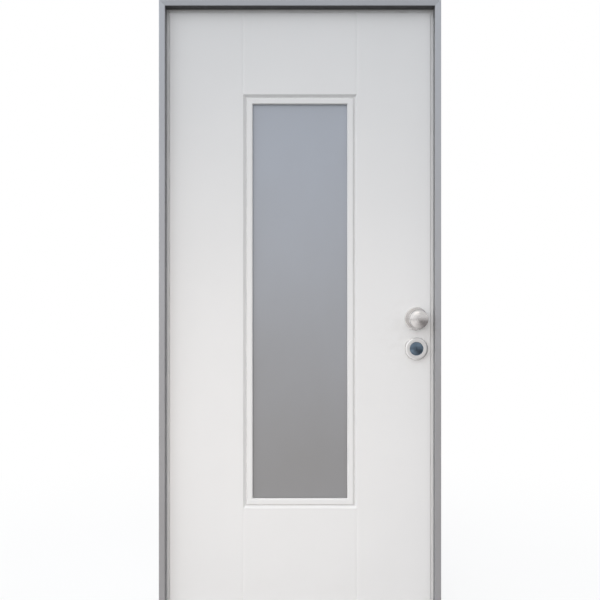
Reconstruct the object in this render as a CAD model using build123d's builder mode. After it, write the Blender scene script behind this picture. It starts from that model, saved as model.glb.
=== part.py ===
from build123d import *
import math
import os

# Steel security door in its folded steel frame, millimetres.
# +X is right seen from outside, -Y faces outside, +Z is up.
# The origin is the middle of the threshold's underside, below the leaf's middle plane.

# Doorway and folded frame
opening_width = 900.0
opening_height = 2045.0
frame_face = 21.0
frame_sheet = 2.0
frame_bend = 3.0
frame_return = 12.0
reveal_depth = 31.0
rebate_depth = 14.0
fixing_radius = 5.5
fixing_spacing = 80.0
fixing_height_shares = (0.1, 0.33, 0.66, 0.9)
fixing_depth_share = 0.25

# Threshold
threshold_height = 20.0
threshold_lip = 5.0
threshold_front_ramp = 24.0
threshold_back_ramp = 14.0
threshold_wall = 3.0
threshold_web = 4.0
threshold_fit = 0.5

# Seals around the stop and below the leaf
seal_gap = 5.0
seal_width = 8.0
seal_inset = 1.0
seal_round = 2.0
seal_bore = 1.3
seal_touch = 0.3
sweep_width = 12.0
sweep_setback = 3.0
sweep_end = 5.0

# Leaf
leaf_thickness = 50.0
leaf_edge_gap = 4.0
leaf_bottom_gap = 6.0
leaf_setback = 2.0
skin_sheet = 1.5
field_border = 20.0
field_foot = 15.0
field_rise = 3.0
groove_width = 10.0
groove_depth = 0.8

# Stiffening frame in the leaf
stile_width = 55.0
stile_sheet = 2.0
forend_sheet = 3.0
rail_height = 40.0
window_post = 30.0
wool_gap = 3.0

# Glazed window
recess_width = 385.0
recess_sill = 360.0
recess_head = 286.0
recess_depth = 8.0
bead_fit = 5.5
bead_width = 19.0
bead_height = 6.0
bead_chamfer = 3.0
bead_round = 1.0
bead_lap = 6.0
gasket_sheet = 2.0
gasket_width = 5.5
gasket_setback = 1.0
pane_sheet = 6.0
pane_edge = 6.0
pane_clearance = 3.0
spacer_depth = 12.0
spacer_width = 10.0
inner_bead_wall = 3.0
inner_bead_foot = 12.0
inner_bead_lap = 17.0
inner_hole_fit = 2.0
bead_screw_count_upright = 6
bead_screw_count_level = 2

# Hinges
hinge_height_shares = (0.11, 0.5, 0.89)
hinge_radius = 10.0
hinge_standoff = 2.0
hinge_knuckle = 58.0
hinge_pin_radius = 5.0
hinge_pin_fit = 0.2
hinge_washer = 2.0
hinge_end_gap = 0.2
hinge_end_round = 2.5
hinge_cap = 4.0
hinge_foot_gap = 0.5
wing_sheet = 3.0
wing_reach = 46.0
wing_screw_reach = 30.0
wing_screw_spacing = 34.0
dog_bolt_height_shares = (0.2, 0.6, 0.8)
dog_bolt_radius = 6.0
dog_bolt_reach = 10.0
dog_bolt_head_radius = 9.0
dog_bolt_head = 5.0
dog_bolt_tip = 2.0
dog_bolt_room = 2.5

# Small countersunk screws
screw_radius = 2.0
screw_head_radius = 4.0
screw_length = 12.0
screw_fit = 0.2

# Outside knob and cylinder guard
backset = 68.0
cylinder_height = 900.0
knob_rise = 101.0
knob_radius = 31.5
knob_reach = 60.0
knob_dome = 13.0
knob_dome_share = 0.5
knob_neck_radius = 13.0
knob_rose_radius = 39.0
knob_rose_height = 9.0
knob_rose_step = 5.0
knob_rose_round = 3.0
stud_radius = 5.0
stud_fit = 0.3
nut_across = 17.0
nut_height = 8.0
guard_radius = 37.5
guard_height = 14.0
guard_round = 5.0
disc_radius = 22.4
disc_height = 5.0
disc_sunk = 1.0
disc_dome = 3.0
disc_round = 1.2
disc_fit = 0.5
collar_fit = 0.3
key_slot_width = 3.0
key_slot_length = 11.0
key_slot_depth = 12.0
key_rim_radius = 8.0
key_rim_width = 1.5
key_rim_depth = 1.4
plug_radius = 8.5
cylinder_radius = 15.0
cylinder_tail_gap = 2.0

# Lock case in the lock stile
case_depth = 101.5
case_thickness = 28.0
case_sheet = 1.5
case_room = 4.0
forend_width = 24.0
forend_overlap = 20.0
forend_screw_inset = 8.0
slide_fit = 0.3

# Bolt carriage, its rack and the thumbturn pinion
rack_module = 2.0
pinion_teeth = 14
pressure_angle = 25.0
addendum_share = 1.0
dedendum_share = 1.25
backlash = 0.35
flank_steps = 5
rack_teeth_behind = 5
rack_teeth_ahead = 1
carriage_sheet = 4.0
carriage_height = 76.0
carriage_length = 69.0
carriage_front_room = 0.5
bolt_radius = 8.0
bolt_spacing = 24.0
bolt_lap = 6.0
bolt_sunk = 0.5
bolt_tip = 1.5
pinion_thickness = 6.0

# Locking rods
rod_width = 12.0
rod_thickness = 4.0
rod_setback = 42.0
rod_gap = 1.0
rod_pin_radius = 3.0
rod_pin_spread = 12.0
rod_end_margin = 5.0
rod_bolt_radius = 6.0
rod_bolt_length = 60.0
rod_bolt_tip = 1.5
rod_room = 1.0

# Spring latch and lever follower
latch_width = 13.0
latch_height = 22.0
latch_length = 34.5
latch_travel = 12.0
latch_bevel = 9.0
tail_height = 8.0
tail_thickness = 5.0
lug_length = 6.0
follower_radius = 10.5
follower_arm = 20.0
follower_arm_width = 6.0
follower_arm_thickness = 5.0
follower_gap = 2.0
spindle_width = 8.0
spindle_socket = 20.0
spindle_fit = 0.2
strike_sheet = 2.0
strike_width = 26.0
strike_margin = 10.0
strike_room = 1.0

# Inside lever and thumbturn
rose_radius = 26.0
lever_rose_height = 8.0
thumbturn_rose_height = 6.0
rose_round = 2.0
lever_radius = 9.5
lever_standoff = 52.0
lever_reach = 125.0
lever_bend = 22.0
turn_length = 36.0
turn_width = 12.0
turn_depth = 22.0
turn_round = 3.0
turn_shaft_radius = 5.0

# One overrun serves every cut
overrun = 1.0

# Places that follow from the sizes above
half_opening = opening_width / 2
rebate_x = half_opening + rebate_depth
frame_x = half_opening + frame_face
frame_top = opening_height + frame_face
rebate_top = opening_height + rebate_depth
leaf_border_y = -leaf_thickness / 2
leaf_inner_y = leaf_thickness / 2
stop_back_y = leaf_border_y - seal_gap
frame_front_y = stop_back_y - reveal_depth
frame_back_y = leaf_inner_y + leaf_setback
leaf_x = rebate_x - leaf_edge_gap
leaf_top = rebate_top - leaf_edge_gap
leaf_bottom = threshold_height + leaf_bottom_gap
leaf_height = leaf_top - leaf_bottom
field_y = leaf_border_y - field_rise
field_x = leaf_x - field_border
field_top = leaf_top - field_border
field_bottom = leaf_bottom + field_foot
field_back_y = field_y + skin_sheet
void_front_y = leaf_border_y + skin_sheet
void_back_y = leaf_inner_y - skin_sheet
web_x = leaf_x - forend_sheet
stile_end_x = web_x - stile_width
recess_height = opening_height - recess_head - recess_sill
window_middle = recess_sill + recess_height / 2
floor_y = field_y + recess_depth
floor_back_y = floor_y + skin_sheet
floor_x = recess_width / 2 - recess_depth
floor_half_height = recess_height / 2 - recess_depth
bead_x = floor_x - bead_fit
bead_half_height = floor_half_height - bead_fit
sight_x = bead_x - bead_width
sight_half_height = bead_half_height - bead_width
hole_x = sight_x + bead_lap
hole_half_height = sight_half_height + bead_lap
pane_x = hole_x + gasket_width + pane_edge
pane_half_height = hole_half_height + gasket_width + pane_edge
post_x = pane_x + pane_clearance
post_half_height = pane_half_height + pane_clearance
pane_front_y = floor_back_y + gasket_sheet
pane_back_y = pane_front_y + pane_sheet
inner_pane_y = pane_back_y + spacer_depth
inner_pane_back_y = inner_pane_y + pane_sheet
inner_foot_y = inner_pane_back_y + gasket_sheet
inner_hole_x = post_x - inner_hole_fit
inner_hole_half_height = post_half_height - inner_hole_fit
flange_x = inner_hole_x + inner_bead_lap
flange_half_height = inner_hole_half_height + inner_bead_lap
flange_y = leaf_inner_y + inner_bead_wall
hinge_x = -(frame_x - hinge_radius)
hinge_y = leaf_inner_y + hinge_standoff + hinge_radius
lock_x = leaf_x - backset
knob_height = cylinder_height + knob_rise
rod_x = leaf_x - rod_setback
case_front_x = web_x - stile_sheet
case_back_x = case_front_x - case_depth
pitch_radius = rack_module * pinion_teeth / 2
throw = pitch_radius * math.pi / 2
pitch_z = cylinder_height - pitch_radius
carriage_top = pitch_z - dedendum_share * rack_module
carriage_bottom = carriage_top - carriage_height
carriage_middle = (carriage_top + carriage_bottom) / 2
carriage_front_x = case_front_x - case_sheet - throw - carriage_front_room
bolt_heights = [carriage_middle + step * bolt_spacing for step in (-1, 0, 1)]
bolt_holes = [(0, z) for z in bolt_heights]
lever_axis = (lock_x, knob_height)
cylinder_axis = (lock_x, cylinder_height)
rod_y = carriage_sheet / 2 + rod_gap + rod_thickness / 2
rod_hole = [(rod_x, rod_y)]
top_pin_z = carriage_middle + rod_pin_spread / 2
bottom_pin_z = carriage_middle - rod_pin_spread / 2
tail_bottom = knob_height + follower_radius + follower_gap
latch_z = tail_bottom + tail_height / 2
latch_back_y = rod_y - rod_thickness / 2 - rod_gap
latch_front_y = latch_back_y - latch_width
latch_middle_y = (latch_front_y + latch_back_y) / 2
latch_tip_x = leaf_x - bolt_sunk
latch_back_x = latch_tip_x - latch_length
case_bottom = carriage_bottom - case_room - case_sheet
case_top = latch_z + latch_height / 2 + case_room + case_sheet
forend_bottom = case_bottom - forend_overlap
forend_top = case_top + forend_overlap


def front(depth):
    """Plane that faces outside at one depth, so that a sketch on it is drawn in x and height."""
    return Plane.XZ.offset(-depth)


def side(place):
    """Plane that faces +X at one place, so that a sketch on it is drawn in depth and height."""
    return Plane.YZ.offset(place)


def save(piece, name):
    """Label a finished piece and write it."""
    piece.part.label = name
    export_step(piece.part, f"parts/{name}.step")


def slab(x_low, x_high, y_low, y_high, z_low, z_high, mode=Mode.ADD):
    """Block between two corners, in the current part."""
    centre = ((x_low + x_high) / 2, (y_low + y_high) / 2, (z_low + z_high) / 2)
    with Locations(centre):
        Box(x_high - x_low, y_high - y_low, z_high - z_low, mode=mode)


def window_plate(half_width, half_height, y_low, y_high, mode=Mode.ADD):
    """Block on the window's middle, between two depths."""
    low = window_middle - half_height
    slab(-half_width, half_width, y_low, y_high, low, low + 2 * half_height, mode)


def window_ring(outer, inner, y_low, y_high):
    """Rectangular ring on the window's middle, as one piece."""
    with BuildPart() as ring:
        window_plate(outer[0], outer[1], y_low, y_high)
        window_plate(inner[0], inner[1], y_low - overrun, y_high + overrun, Mode.SUBTRACT)
    return ring


def mitred(edge, half_width, half_height, reach):
    """Outline of one side of a rectangular ring, cut at 45 degrees at both ends."""
    low = window_middle - half_height
    high = window_middle + half_height
    inner_x = half_width - reach
    if edge in ("top", "bottom"):
        outer_z = high if edge == "top" else low
        inner_z = high - reach if edge == "top" else low + reach
        return [(-half_width, outer_z), (half_width, outer_z), (inner_x, inner_z), (-inner_x, inner_z)]
    turn = 1 if edge == "right" else -1
    return [
        (turn * half_width, low),
        (turn * half_width, high),
        (turn * inner_x, high - reach),
        (turn * inner_x, low + reach),
    ]


def round_holes(plane, places, radius, depth):
    """Round holes cut from a plane to both sides of it."""
    with BuildSketch(plane) as cut:
        with Locations(*places):
            Circle(radius)
    extrude(cut.sketch, amount=depth, both=True, mode=Mode.SUBTRACT)


def square_hole(plane, place, width, height, depth):
    """Rectangular hole cut from a plane to both sides of it."""
    with BuildSketch(plane) as cut:
        with Locations(place):
            Rectangle(width, height)
    extrude(cut.sketch, amount=depth, both=True, mode=Mode.SUBTRACT)


def bolt_exits(plane, fit, depth):
    """Holes for the deadbolts and the latch in a plate on the leaf's edge."""
    round_holes(plane, bolt_holes, bolt_radius + fit, depth)
    latch_place = (latch_middle_y, latch_z)
    square_hole(plane, latch_place, latch_width + 2 * fit, latch_height + 2 * fit, depth)


def screws(plane, places):
    """Countersunk screws with their heads flush with a plane, pointing along its normal."""
    with BuildPart() as group:
        with BuildSketch(plane):
            with Locations(*places):
                Circle(screw_head_radius)
        extrude(amount=screw_head_radius - screw_radius, taper=45)
        with BuildSketch(plane):
            with Locations(*places):
                Circle(screw_radius)
        extrude(amount=screw_length)
    return group


def countersinks(plane, places):
    """Seats for the same screws, cut along the plane's normal."""
    with BuildSketch(plane) as seat:
        with Locations(*places):
            Circle(screw_head_radius + screw_fit)
    extrude(seat.sketch, amount=screw_head_radius - screw_radius, taper=45, mode=Mode.SUBTRACT)
    with BuildSketch(plane) as bore:
        with Locations(*places):
            Circle(screw_radius + screw_fit)
    extrude(bore.sketch, amount=screw_length, mode=Mode.SUBTRACT)


def heights(shares, low, span):
    """Heights at shares of a span."""
    return [low + share * span for share in shares]


hinge_heights = heights(hinge_height_shares, leaf_bottom, leaf_height)
dog_bolt_heights = heights(dog_bolt_height_shares, leaf_bottom, leaf_height)
fixing_heights = heights(fixing_height_shares, 0, frame_top)
fixing_y = stop_back_y + fixing_depth_share * (frame_back_y - stop_back_y)
fixing_places = [
    (fixing_y, height + step * fixing_spacing / 2) for height in fixing_heights for step in (-1, 1)
]

os.makedirs("parts", exist_ok=True)

# Folded frame: face, reveal, stop and rebate, mitred at the head
frame_line = [
    (frame_face, frame_front_y + frame_return),
    (frame_face, frame_front_y),
    (0, frame_front_y),
    (0, stop_back_y),
    (rebate_depth, stop_back_y),
    (rebate_depth, frame_back_y),
    (frame_face, frame_back_y),
]
mitre_plane = Plane(origin=(half_opening, 0, opening_height), z_dir=(1, 0, -1))

with BuildPart() as jamb_blank:
    with BuildSketch(Plane.XY):
        with BuildLine():
            FilletPolyline(*[(half_opening + out, depth) for out, depth in frame_line], radius=frame_bend)
            offset(amount=frame_sheet, side=Side.RIGHT)
        make_face()
    extrude(amount=frame_top)
    split(bisect_by=mitre_plane, keep=Keep.TOP)
    round_holes(side(rebate_x), fixing_places, fixing_radius, frame_sheet + overrun)

with BuildPart() as lock_jamb:
    add(jamb_blank.part)
    bolt_exits(side(rebate_x), strike_room, frame_sheet + overrun)
save(lock_jamb, "lock_jamb")

with BuildPart() as hinge_jamb:
    mirror(jamb_blank.part, about=Plane.YZ)
    round_holes(
        side(-rebate_x),
        [(0, z) for z in dog_bolt_heights],
        dog_bolt_radius + dog_bolt_room,
        frame_sheet + overrun,
    )
save(hinge_jamb, "hinge_jamb")

with BuildPart() as head_jamb:
    with BuildSketch(Plane.YZ):
        with BuildLine():
            FilletPolyline(*[(depth, opening_height + out) for out, depth in frame_line], radius=frame_bend)
            offset(amount=frame_sheet, side=Side.LEFT)
        make_face()
    extrude(amount=frame_x, both=True)
    split(bisect_by=mitre_plane, keep=Keep.BOTTOM)
    split(bisect_by=Plane(origin=(-half_opening, 0, opening_height), z_dir=(-1, 0, -1)), keep=Keep.BOTTOM)
    round_holes(Plane.XY.offset(rebate_top), rod_hole, rod_bolt_radius + rod_room, frame_sheet + overrun)
save(head_jamb, "head_jamb")

# Threshold: a hollow saddle between the jambs
threshold_x = rebate_x - threshold_fit
saddle_front_y = frame_front_y + threshold_front_ramp
saddle_back_y = frame_back_y - threshold_back_ramp
cavity_width = (saddle_back_y - saddle_front_y - threshold_web) / 2
with BuildPart() as threshold:
    with BuildSketch(Plane.YZ):
        with BuildLine():
            Polyline(
                (frame_front_y, 0),
                (frame_front_y, threshold_lip),
                (saddle_front_y, threshold_height),
                (saddle_back_y, threshold_height),
                (frame_back_y, threshold_lip),
                (frame_back_y, 0),
                close=True,
            )
        make_face()
        with Locations(
            (saddle_front_y + cavity_width / 2, threshold_height / 2),
            (saddle_back_y - cavity_width / 2, threshold_height / 2),
        ):
            Rectangle(cavity_width, threshold_height - 2 * threshold_wall, mode=Mode.SUBTRACT)
    extrude(amount=threshold_x, both=True)
    for edge in (-1, 1):
        notch_width = rebate_depth + overrun
        notch_middle = half_opening - threshold_fit + notch_width / 2
        square_hole(
            Plane.XY,
            (edge * notch_middle, frame_front_y),
            notch_width,
            2 * (reveal_depth + frame_bend),
            threshold_height + overrun,
        )
    round_holes(Plane.XY, rod_hole, rod_bolt_radius + rod_room, threshold_height + overrun)
save(threshold, "threshold")

# Hollow rubber seals on the back of the stop
seal_height = seal_gap - seal_touch
seal_middle_x = half_opening + seal_inset + seal_width / 2
seal_middle_y = stop_back_y + seal_height / 2
seal_top_z = opening_height + seal_inset
with BuildPart() as seal_blank:
    with BuildSketch(Plane.XY.offset(threshold_height)):
        with Locations((seal_middle_x, seal_middle_y)):
            RectangleRounded(seal_width, seal_height, seal_round)
            Circle(seal_bore, mode=Mode.SUBTRACT)
    extrude(amount=seal_top_z - threshold_height)
with BuildPart() as lock_jamb_seal:
    add(seal_blank.part)
save(lock_jamb_seal, "lock_jamb_seal")
with BuildPart() as hinge_jamb_seal:
    mirror(seal_blank.part, about=Plane.YZ)
save(hinge_jamb_seal, "hinge_jamb_seal")
with BuildPart() as head_seal:
    with BuildSketch(Plane.YZ):
        with Locations((seal_middle_y, seal_top_z + seal_width / 2)):
            RectangleRounded(seal_height, seal_width, seal_round)
            Circle(seal_bore, mode=Mode.SUBTRACT)
    extrude(amount=seal_middle_x + seal_width / 2, both=True)
save(head_seal, "head_seal")

# Strike plates behind the rebate
strike_x = rebate_x + frame_sheet
with BuildPart() as lock_strike:
    slab(
        strike_x,
        strike_x + strike_sheet,
        latch_front_y - strike_room - strike_margin / 2,
        bolt_radius + strike_room + strike_margin / 2,
        bolt_heights[0] - bolt_radius - strike_margin,
        latch_z + latch_height / 2 + strike_margin,
    )
    bolt_exits(side(strike_x), strike_room, strike_sheet + overrun)
save(lock_strike, "lock_strike")

strike_z = rebate_top + frame_sheet
with BuildPart() as top_strike:
    slab(
        rod_x - strike_width,
        rod_x + strike_width,
        rod_y - strike_width / 2,
        rod_y + strike_width / 2,
        strike_z,
        strike_z + strike_sheet,
    )
    round_holes(Plane.XY.offset(strike_z), rod_hole, rod_bolt_radius + rod_room, strike_sheet + overrun)
save(top_strike, "top_strike")

# Lift-off hinges on the inner side
leaf_knuckle_rise = hinge_washer + hinge_end_gap
wing_places = [
    (hinge_x + wing_screw_reach, z + leaf_knuckle_rise + hinge_knuckle / 2 + step * wing_screw_spacing / 2)
    for z in hinge_heights
    for step in (-1, 1)
]
wing_y = leaf_inner_y + wing_sheet
with BuildPart() as frame_hinge_knuckles:
    for z in hinge_heights:
        with BuildSketch(Plane.XY.offset(z - hinge_knuckle)):
            with Locations((hinge_x, hinge_y)):
                Circle(hinge_radius)
        extrude(amount=hinge_knuckle)
        slab(-frame_x, -(rebate_x + hinge_foot_gap), frame_back_y, hinge_y, z - hinge_knuckle, z)
    bottoms = frame_hinge_knuckles.faces().filter_by(Axis.Z)
    low_faces = [face for face in bottoms if face.normal_at().Z < 0]
    fillet([edge for face in low_faces for edge in face.edges()], radius=hinge_end_round / 2)
    for z in hinge_heights:
        with BuildSketch(Plane.XY.offset(z)):
            with Locations((hinge_x, hinge_y)):
                Circle(hinge_pin_radius + hinge_pin_fit)
        extrude(amount=-(hinge_knuckle - hinge_cap), mode=Mode.SUBTRACT)
save(frame_hinge_knuckles, "frame_hinge_knuckles")

with BuildPart() as hinge_washers:
    for z in hinge_heights:
        with BuildSketch(Plane.XY.offset(z)):
            with Locations((hinge_x, hinge_y)):
                Circle(hinge_radius)
                Circle(hinge_pin_radius + hinge_pin_fit, mode=Mode.SUBTRACT)
        extrude(amount=hinge_washer)
save(hinge_washers, "hinge_washers")

pin_length = 2 * (hinge_knuckle - hinge_cap) + leaf_knuckle_rise - hinge_end_gap
with BuildPart() as hinge_pins:
    for z in hinge_heights:
        with BuildSketch(Plane.XY.offset(z - hinge_knuckle + hinge_cap)):
            with Locations((hinge_x, hinge_y)):
                Circle(hinge_pin_radius)
        extrude(amount=pin_length)
save(hinge_pins, "hinge_pins")

with BuildPart() as leaf_hinge_knuckles:
    for z in hinge_heights:
        low = z + leaf_knuckle_rise
        with BuildSketch(Plane.XY.offset(low)):
            with Locations((hinge_x, hinge_y)):
                Circle(hinge_radius)
        extrude(amount=hinge_knuckle)
        top_face = leaf_hinge_knuckles.faces().filter_by(Axis.Z).sort_by(Axis.Z)[-1]
        fillet(top_face.edges(), radius=hinge_end_round)
        wing_top = low + hinge_knuckle - hinge_end_round
        slab(hinge_x, hinge_x + wing_reach, leaf_inner_y, wing_y, low, wing_top)
        slab(hinge_x, hinge_x + hinge_radius, leaf_inner_y, hinge_y, low, wing_top)
        with BuildSketch(Plane.XY.offset(low)):
            with Locations((hinge_x, hinge_y)):
                Circle(hinge_pin_radius + hinge_pin_fit)
        extrude(amount=hinge_knuckle - hinge_cap, mode=Mode.SUBTRACT)
    countersinks(front(wing_y), wing_places)
save(leaf_hinge_knuckles, "leaf_hinge_knuckles")
leaf_hinge_screws = screws(front(wing_y), wing_places)
save(leaf_hinge_screws, "leaf_hinge_screws")

# Outer skin: a folded tray with a raised field, a window recess and two pressed grooves
bevel_back = field_rise - skin_sheet
with BuildPart() as tray_void:
    slab(
        -(leaf_x - skin_sheet),
        leaf_x - skin_sheet,
        void_front_y,
        leaf_inner_y,
        leaf_bottom + skin_sheet,
        leaf_top - skin_sheet,
    )
    with BuildSketch(front(void_front_y)):
        with Locations((0, (field_top + field_bottom) / 2)):
            Rectangle(2 * (field_x + bevel_back), field_top - field_bottom + 2 * bevel_back)
    extrude(amount=field_rise, taper=45)
    with BuildSketch(front(floor_back_y)):
        with Locations((0, window_middle)):
            Rectangle(2 * (floor_x + skin_sheet), 2 * (floor_half_height + skin_sheet))
    extrude(amount=recess_depth + overrun, taper=-45, mode=Mode.SUBTRACT)

groove_x = recess_width / 2
groove_spans = [
    (field_bottom - field_rise, window_middle - recess_height / 2),
    (window_middle + recess_height / 2, field_top + field_rise),
]


def groove(depth, low, high, mode):
    """Two shallow V prisms in line with the recess's sides, with their wide side at one depth."""
    with BuildSketch(Plane.XY.offset(low)) as section:
        for turn in (-1, 1):
            with BuildLine():
                Polyline(
                    (turn * groove_x - groove_width / 2, depth),
                    (turn * groove_x + groove_width / 2, depth),
                    (turn * groove_x, depth + groove_depth),
                    close=True,
                )
            make_face()
    extrude(section.sketch, amount=high - low, mode=mode)


with BuildPart() as outer_skin:
    slab(-leaf_x, leaf_x, leaf_border_y, void_back_y, leaf_bottom, leaf_top)
    with BuildSketch(front(leaf_border_y)):
        with Locations((0, (field_top + field_bottom) / 2)):
            Rectangle(2 * (field_x + field_rise), field_top - field_bottom + 2 * field_rise)
    extrude(amount=field_rise, taper=45)
    with BuildSketch(front(floor_y)):
        with Locations((0, window_middle)):
            Rectangle(2 * floor_x, 2 * floor_half_height)
    extrude(amount=recess_depth, taper=-45, mode=Mode.SUBTRACT)
    add(tray_void.part, mode=Mode.SUBTRACT)
    for low, high in groove_spans:
        groove(field_y, low, high, Mode.SUBTRACT)
        groove(field_back_y, low, high, Mode.ADD)
    window_plate(hole_x, hole_half_height, floor_y - overrun, floor_back_y + overrun, Mode.SUBTRACT)
    round_holes(front(field_y), [lever_axis], stud_radius + stud_fit, field_rise)
    round_holes(front(field_y), [cylinder_axis], cylinder_radius + collar_fit, field_rise)
    square_hole(
        side(leaf_x),
        (0, (forend_bottom + forend_top) / 2),
        forend_width + 2 * slide_fit,
        forend_top - forend_bottom + 2 * slide_fit,
        skin_sheet + overrun,
    )
    round_holes(
        side(-leaf_x), [(0, z) for z in dog_bolt_heights], dog_bolt_radius + slide_fit, skin_sheet + overrun
    )
    for z in (leaf_bottom, leaf_top):
        round_holes(Plane.XY.offset(z), rod_hole, rod_bolt_radius + slide_fit, skin_sheet + overrun)
save(outer_skin, "outer_skin")

# Inner skin and the screws of the inner glazing bead
upright_steps = [
    (step + 0.5) / bead_screw_count_upright * 2 - 1 for step in range(bead_screw_count_upright)
]
level_steps = [(step + 0.5) / bead_screw_count_level * 2 - 1 for step in range(bead_screw_count_level)]
screw_x = (inner_hole_x + flange_x) / 2
screw_half_height = (inner_hole_half_height + flange_half_height) / 2
bead_places = [
    (turn * screw_x, window_middle + step * inner_hole_half_height)
    for turn in (-1, 1)
    for step in upright_steps
]
bead_places += [
    (step * inner_hole_x, window_middle + turn * screw_half_height)
    for turn in (-1, 1)
    for step in level_steps
]
with BuildPart() as inner_skin:
    slab(-leaf_x, leaf_x, void_back_y, leaf_inner_y, leaf_bottom, leaf_top)
    window_plate(
        inner_hole_x, inner_hole_half_height, void_back_y - overrun, leaf_inner_y + overrun, Mode.SUBTRACT
    )
    screw_holes = bead_places + wing_places
    round_holes(front(leaf_inner_y), screw_holes, screw_radius + screw_fit, skin_sheet + overrun)
    round_holes(front(leaf_inner_y), [lever_axis], lever_radius + slide_fit, skin_sheet + overrun)
    round_holes(
        front(leaf_inner_y), [cylinder_axis], turn_shaft_radius + slide_fit, skin_sheet + overrun
    )
save(inner_skin, "inner_skin")
bead_screws = screws(front(flange_y), bead_places)
save(bead_screws, "bead_screws")

# Stiles: channels along both long edges, open towards the middle of the leaf
stile_low = leaf_bottom + skin_sheet
stile_high = leaf_top - skin_sheet
with BuildPart() as stile_blank:
    slab(stile_end_x, web_x, void_front_y, void_back_y, stile_low, stile_high)
    slab(
        stile_end_x - overrun,
        web_x - stile_sheet,
        void_front_y + stile_sheet,
        void_back_y - stile_sheet,
        stile_low - overrun,
        stile_high + overrun,
        Mode.SUBTRACT,
    )
forend_places = [(0, forend_bottom + forend_screw_inset), (0, forend_top - forend_screw_inset)]
with BuildPart() as lock_stile:
    add(stile_blank.part)
    bolt_exits(side(web_x), slide_fit, stile_sheet + overrun)
    round_holes(front(void_front_y), [cylinder_axis], cylinder_radius + collar_fit, stile_sheet + overrun)
    nut_room = nut_across / math.sqrt(3) + slide_fit
    round_holes(front(void_front_y), [lever_axis], nut_room, stile_sheet + overrun)
    round_holes(side(web_x), forend_places, screw_radius + screw_fit, stile_sheet + overrun)
save(lock_stile, "lock_stile")
with BuildPart() as hinge_stile:
    mirror(stile_blank.part, about=Plane.YZ)
    round_holes(
        side(-web_x), [(0, z) for z in dog_bolt_heights], dog_bolt_radius + slide_fit, stile_sheet + overrun
    )
    round_holes(front(void_back_y), wing_places, screw_radius + screw_fit, stile_sheet + overrun)
save(hinge_stile, "hinge_stile")

with BuildPart() as dog_bolts:
    with BuildSketch(side(-leaf_x - dog_bolt_reach)):
        with Locations(*[(0, z) for z in dog_bolt_heights]):
            Circle(dog_bolt_radius)
    extrude(amount=dog_bolt_reach + forend_sheet + stile_sheet)
    tips = dog_bolts.faces().filter_by(Axis.X).group_by(Axis.X)[0]
    chamfer([edge for face in tips for edge in face.edges()], length=dog_bolt_tip)
    with BuildSketch(side(-web_x + stile_sheet)):
        with Locations(*[(0, z) for z in dog_bolt_heights]):
            Circle(dog_bolt_head_radius)
    extrude(amount=dog_bolt_head)
save(dog_bolts, "dog_bolts")


def tube(name, x_span, y_front, z_span, along, screw_places):
    """Tube of the stiffening frame, open at its ends, with holes for the bead's screws."""
    x_low, x_high = x_span
    z_low, z_high = z_span
    x_wall = -overrun if along == "x" else stile_sheet
    z_wall = -overrun if along == "z" else stile_sheet
    with BuildPart() as beam:
        slab(x_low, x_high, y_front, void_back_y, z_low, z_high)
        slab(
            x_low + x_wall,
            x_high - x_wall,
            y_front + stile_sheet,
            void_back_y - stile_sheet,
            z_low + z_wall,
            z_high - z_wall,
            Mode.SUBTRACT,
        )
        for place in screw_places:
            round_holes(front(void_back_y), [place], screw_radius + screw_fit, stile_sheet + overrun)
    save(beam, name)


rail_top = stile_high - rail_height
rail_bottom = stile_low + rail_height
post_end_x = post_x + window_post
post_top = window_middle + post_half_height
post_bottom = window_middle - post_half_height
rail_span = (-stile_end_x, stile_end_x)
tube("top_rail", rail_span, void_front_y, (rail_top, stile_high), "x", [])
tube("bottom_rail", rail_span, void_front_y, (stile_low, rail_bottom), "x", [])
left_places = [place for place in bead_places if place[0] < -inner_hole_x]
right_places = [place for place in bead_places if place[0] > inner_hole_x]
high_places = [place for place in bead_places if place[1] > post_top - inner_hole_fit]
low_places = [place for place in bead_places if place[1] < post_bottom + inner_hole_fit]
posts_span = (rail_bottom, rail_top)
tube("window_stile_hinge_side", (-post_end_x, -post_x), floor_back_y, posts_span, "z", left_places)
tube("window_stile_lock_side", (post_x, post_end_x), floor_back_y, posts_span, "z", right_places)
head_span = (post_top, post_top + window_post)
sill_span = (post_bottom - window_post, post_bottom)
tube("window_head_rail", (-post_x, post_x), floor_back_y, head_span, "x", high_places)
tube("window_sill_rail", (-post_x, post_x), floor_back_y, sill_span, "x", low_places)

# Mineral wool between the skins, in four slabs that lie on the inner skin
wool_y = void_front_y + wool_gap
with BuildPart() as mineral_wool_core:
    slab(-stile_end_x, -post_end_x, wool_y, void_back_y, rail_bottom, rail_top)
    slab(post_end_x, case_back_x - wool_gap, wool_y, void_back_y, rail_bottom, rail_top)
    slab(-post_x, post_x, wool_y, void_back_y, head_span[1], rail_top)
    slab(-post_x, post_x, wool_y, void_back_y, rail_bottom, sill_span[0])
save(mineral_wool_core, "mineral_wool_core")

# Sealed glass unit with its gaskets
with BuildPart() as outer_pane:
    window_plate(pane_x, pane_half_height, pane_front_y, pane_back_y)
save(outer_pane, "outer_pane")
with BuildPart() as inner_pane:
    window_plate(pane_x, pane_half_height, inner_pane_y, inner_pane_back_y)
save(inner_pane, "inner_pane")
glass_spacer = window_ring(
    (pane_x, pane_half_height),
    (pane_x - spacer_width, pane_half_height - spacer_width),
    pane_back_y,
    inner_pane_y,
)
save(glass_spacer, "glass_spacer")
outer_gasket = window_ring(
    (hole_x + gasket_setback + gasket_width, hole_half_height + gasket_setback + gasket_width),
    (hole_x + gasket_setback, hole_half_height + gasket_setback),
    floor_back_y,
    pane_front_y,
)
save(outer_gasket, "outer_gasket")
foot_reach = inner_bead_foot - gasket_setback
inner_gasket = window_ring(
    (sight_x + foot_reach, sight_half_height + foot_reach),
    (sight_x + gasket_setback, sight_half_height + gasket_setback),
    inner_pane_back_y,
    inner_foot_y,
)
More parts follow.
